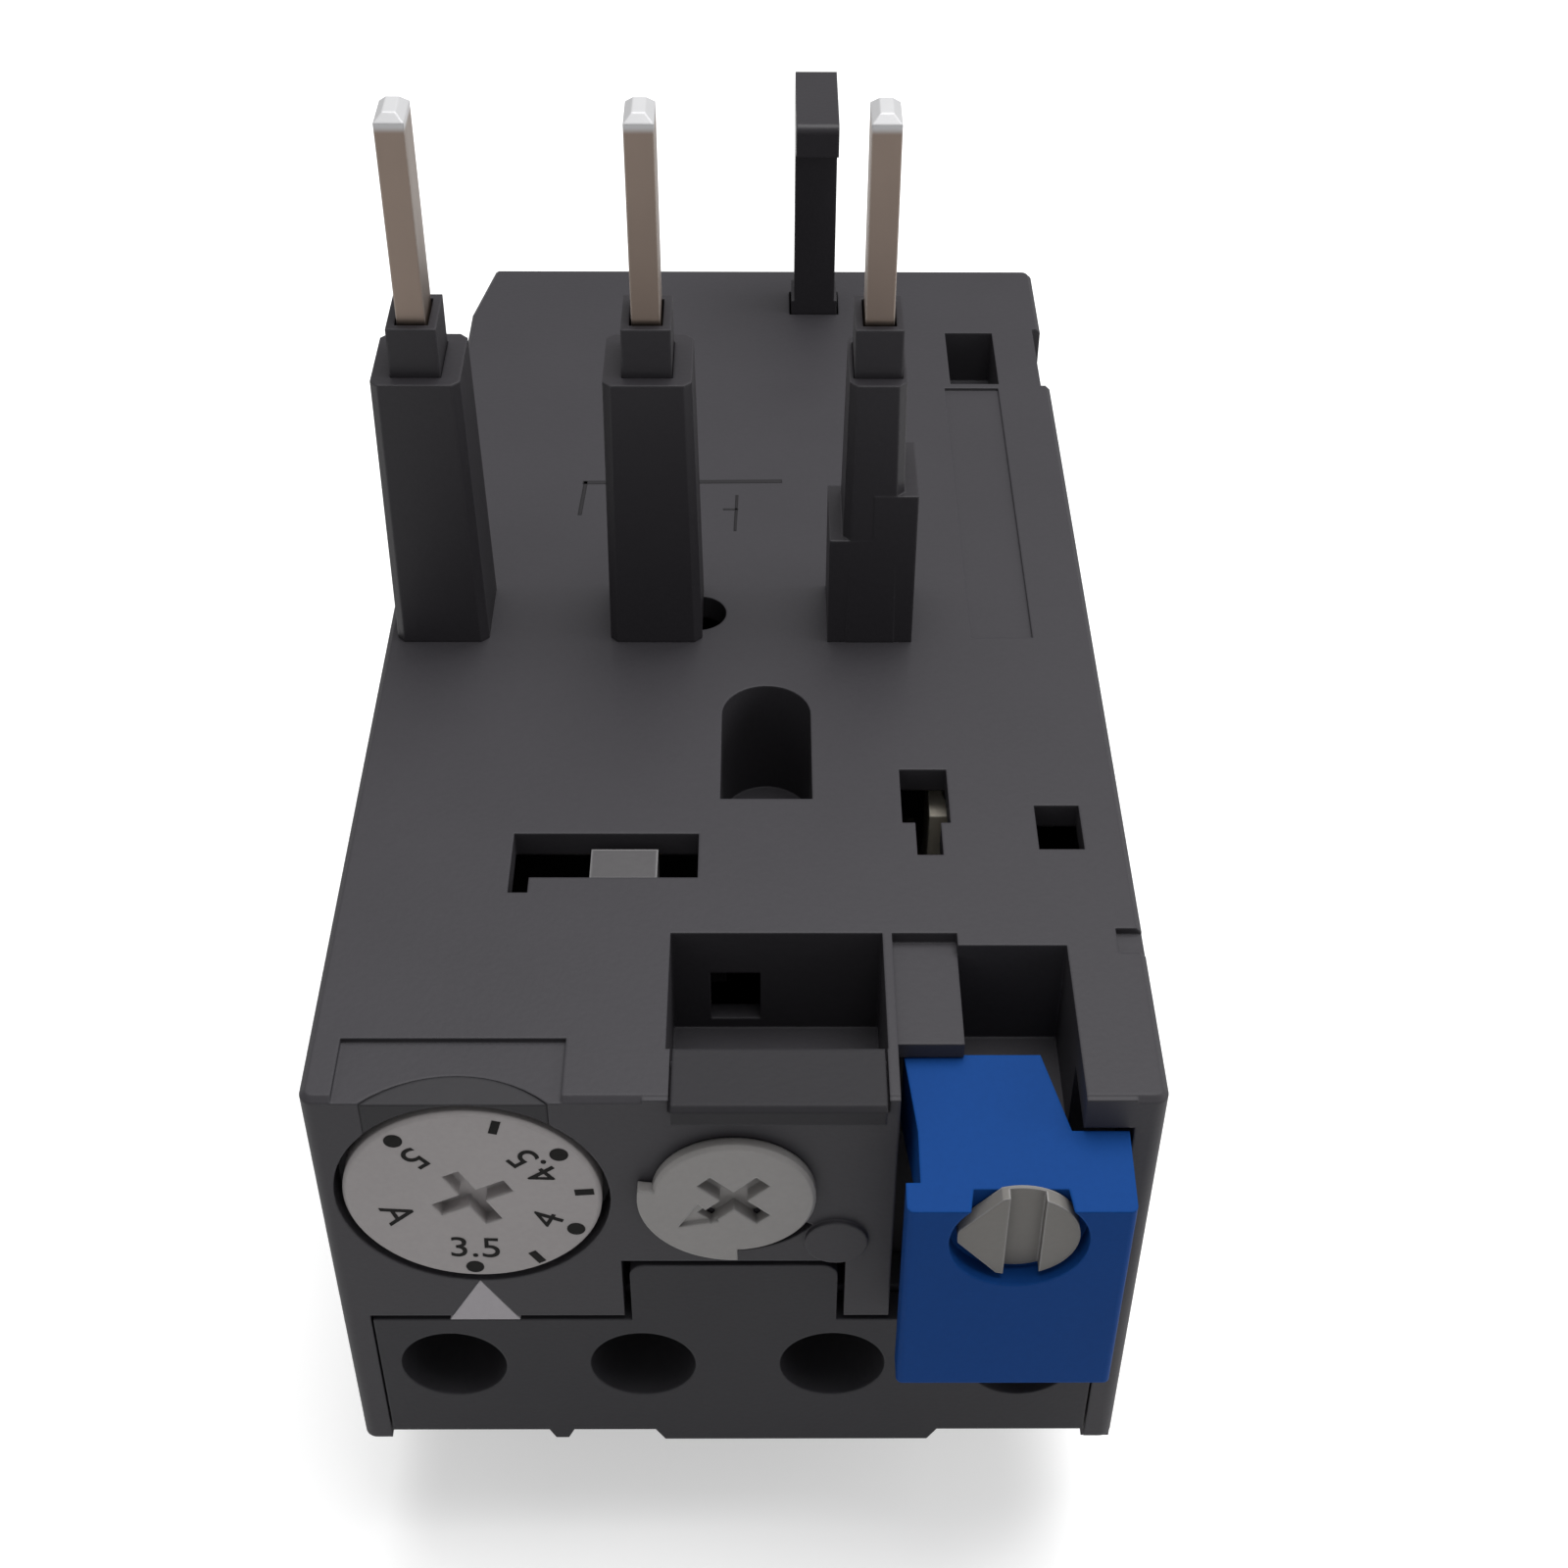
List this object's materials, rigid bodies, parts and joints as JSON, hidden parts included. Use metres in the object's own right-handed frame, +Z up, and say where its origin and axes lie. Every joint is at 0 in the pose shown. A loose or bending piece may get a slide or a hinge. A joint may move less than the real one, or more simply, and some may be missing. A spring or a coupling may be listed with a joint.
{
  "type": "thermal overload relay",
  "caption": "Plug-in thermal overload relay: dark housing, three line pins in sleeves, mounting hook, setting dial, test knob, blue reset button with selector.",
  "frame": {"origin": "centre of the footprint, at the bottom of the base moulding", "axes": "+Z up along the line pins, -Y out of the front face with the dial and the reset button, +X to the right as seen from the front"},
  "size_m": [0.048, 0.0962, 0.0819],
  "materials": {
    "dark_moulding": "fine spark-eroded texture",
    "base_moulding": "fine spark-eroded texture",
    "black_moulding": "satin",
    "grey_dial": "satin",
    "grey_knob": "satin",
    "white_moulding": "satin",
    "blue_moulding": "satin",
    "natural_moulding": "satin",
    "tinned_copper": "dull tin plate",
    "plated_steel": "zinc plate",
    "spring_steel": "drawn wire",
    "bimetal": "rolled strip",
    "heater_ribbon": "rolled ribbon",
    "brass": "rolled strip"
  },
  "bodies": {
    "housing": {"case": "dark_moulding", "inner_frame": "base_moulding", "aux_terminal_block": "base_moulding", "base": "base_moulding", "terminal_cover": "dark_moulding", "bridge_strip": "dark_moulding", "setting_pointer": "white_moulding", "mounting_hook": "black_moulding", "pivot_clip": "spring_steel", "reset_spring": "spring_steel", "aux_strip_1": "brass", "aux_clamp_1": "plated_steel", "aux_screw_1": "plated_steel", "aux_strip_2": "brass", "aux_clamp_2": "plated_steel", "aux_screw_2": "plated_steel", "aux_strip_3": "brass", "aux_clamp_3": "plated_steel", "aux_screw_3": "plated_steel", "aux_strip_4": "brass", "aux_clamp_4": "plated_steel", "aux_screw_4": "plated_steel", "line_pin_1": "tinned_copper", "inner_sleeve_1": "black_moulding", "outer_sleeve_1": "black_moulding", "bimetal_1": "bimetal", "heater_1": "heater_ribbon", "load_bar_1": "tinned_copper", "main_clamp_1": "plated_steel", "main_screw_1": "plated_steel", "line_pin_2": "tinned_copper", "inner_sleeve_2": "black_moulding", "outer_sleeve_2": "black_moulding", "bimetal_2": "bimetal", "heater_2": "heater_ribbon", "load_bar_2": "tinned_copper", "main_clamp_2": "plated_steel", "main_screw_2": "plated_steel", "line_pin_3": "tinned_copper", "inner_sleeve_3": "black_moulding", "outer_sleeve_3": "black_moulding", "bimetal_3": "bimetal", "heater_3": "heater_ribbon", "load_bar_3": "tinned_copper", "main_clamp_3": "plated_steel", "main_screw_3": "plated_steel"},
    "dial": {"setting_dial": "grey_dial", "setting_cam": "grey_dial"},
    "test": {"test_knob": "grey_knob"},
    "reset": {"reset_button": "blue_moulding"},
    "selector": {"selector_knob": "white_moulding"},
    "slide": {"trip_slide": "natural_moulding"},
    "lever": {"trip_lever": "natural_moulding", "compensation_strip": "bimetal"},
    "carrier": {"contact_carrier": "natural_moulding", "closed_contact_blade": "brass", "open_contact_blade": "brass"}
  },
  "joints": [
    {"name": "dial_turn", "type": "hinge", "parent": "housing", "child": "dial", "pos_m": [-0.01505, -0.04305, 0.03625], "axis": [0, 1, 0], "range_deg": [0, 225]},
    {"name": "test_turn", "type": "hinge", "parent": "housing", "child": "test", "pos_m": [-0.0001, -0.04305, 0.0369], "axis": [0, -1, 0], "range_deg": [0, 34], "stiffness_Nm_per_rad": 0.02, "springref_deg": -11.46},
    {"name": "reset_push", "type": "slide", "parent": "housing", "child": "reset", "axis": [0, 1, 0], "range_m": [0, 0.003], "stiffness_N_per_m": 200, "springref_m": -0.004},
    {"name": "selector_turn", "type": "hinge", "parent": "reset", "child": "selector", "pos_m": [0.0157, -0.04805, 0.0385], "axis": [0, 1, 0], "range_deg": [0, 180]},
    {"name": "trip_slide_move", "type": "slide", "parent": "housing", "child": "slide", "axis": [1, 0, 0], "range_m": [0, 0.002], "stiffness_N_per_m": 150, "springref_m": -0.002},
    {"name": "trip_lever_turn", "type": "hinge", "parent": "housing", "child": "lever", "pos_m": [0.0145, -0.01405, 0.0347], "axis": [0, 0, -1], "range_deg": [0, 17.25]},
    {"name": "contact_slide", "type": "slide", "parent": "housing", "child": "carrier", "axis": [-1, 0, 0], "range_m": [0, 0.00251]}
  ],
  "couplings": [
    {"joint": "trip_lever_turn", "follows": "trip_slide_move", "rad_per_m": 150},
    {"joint": "contact_slide", "follows": "trip_slide_move", "ratio": 1.25}
  ]
}
